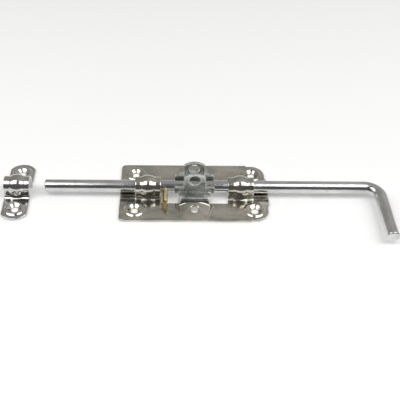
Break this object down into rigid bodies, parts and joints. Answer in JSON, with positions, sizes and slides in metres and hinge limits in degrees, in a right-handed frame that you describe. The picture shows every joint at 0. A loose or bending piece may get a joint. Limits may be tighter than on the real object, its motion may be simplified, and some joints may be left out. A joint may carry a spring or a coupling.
{
  "type": "toggle bolt latch",
  "caption": "Padlockable round bolt latch: stamped plate with two ribbed guide straps, cranked bolt with a cross pin, gate of padlock ears and a separate keep.",
  "frame": {"origin": "centre of the plate's four screw holes, on the mounting face, under the bolt's centre line", "axes": "+X along the bolt towards the handle, +Y across the plate away from the handle, +Z out of the mounting face"},
  "size_m": [0.297, 0.086, 0.0266],
  "materials": {
    "plate_zinc": "bright zinc plated, stamped sheet",
    "ear_zinc": "bright zinc plated, stamped sheet",
    "bolt_zinc": "bright zinc plated, drawn bar",
    "keep_zinc": "bright zinc plated, stamped sheet",
    "pin_steel": "yellowish spring steel"
  },
  "bodies": {
    "plate": {"base_plate": "plate_zinc", "front_ear": "ear_zinc", "back_ear": "ear_zinc", "keep": "keep_zinc"},
    "bolt": {"bolt_rod": "bolt_zinc", "stop_pin": "pin_steel"}
  },
  "joints": [
    {"name": "bolt_turn", "type": "hinge", "parent": "plate", "child": "bolt", "pos_m": [0, 0, 0.0075], "axis": [1, 0, 0], "range_deg": [-180, 0]}
  ]
}
